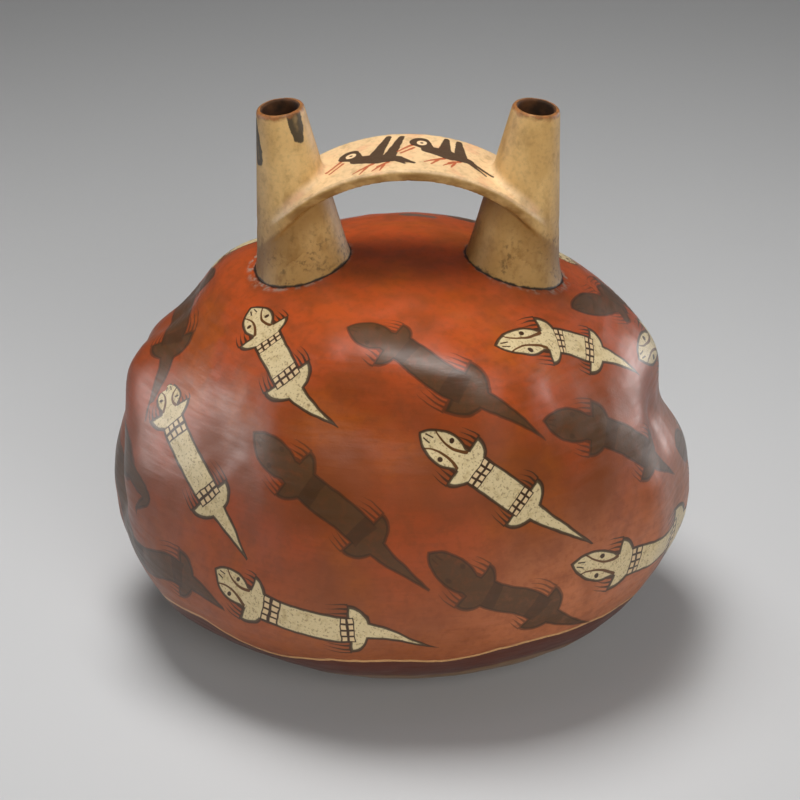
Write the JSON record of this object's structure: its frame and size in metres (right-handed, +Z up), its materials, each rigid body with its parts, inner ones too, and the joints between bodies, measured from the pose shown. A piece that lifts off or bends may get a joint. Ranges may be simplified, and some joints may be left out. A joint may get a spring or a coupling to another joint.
{
  "type": "double spout vessel",
  "caption": "Hollow fired clay bottle with a knobbly rounded body, leaning open spouts and an arched strap bridge between them.",
  "frame": {"origin": "middle of the flat underside that the bottle stands on", "axes": "+Z up; the spouts stand left and right along X; -Y is the front, the side that the picture shows"},
  "size_m": [0.1688, 0.1519, 0.1638],
  "materials": {
    "painted_clay": "burnished red-orange slip painted with cream and brown lizards, cream slip on the spouts and bridge, soft sheen"
  },
  "bodies": {
    "root": {"bottle": "painted_clay"}
  },
  "joints": []
}
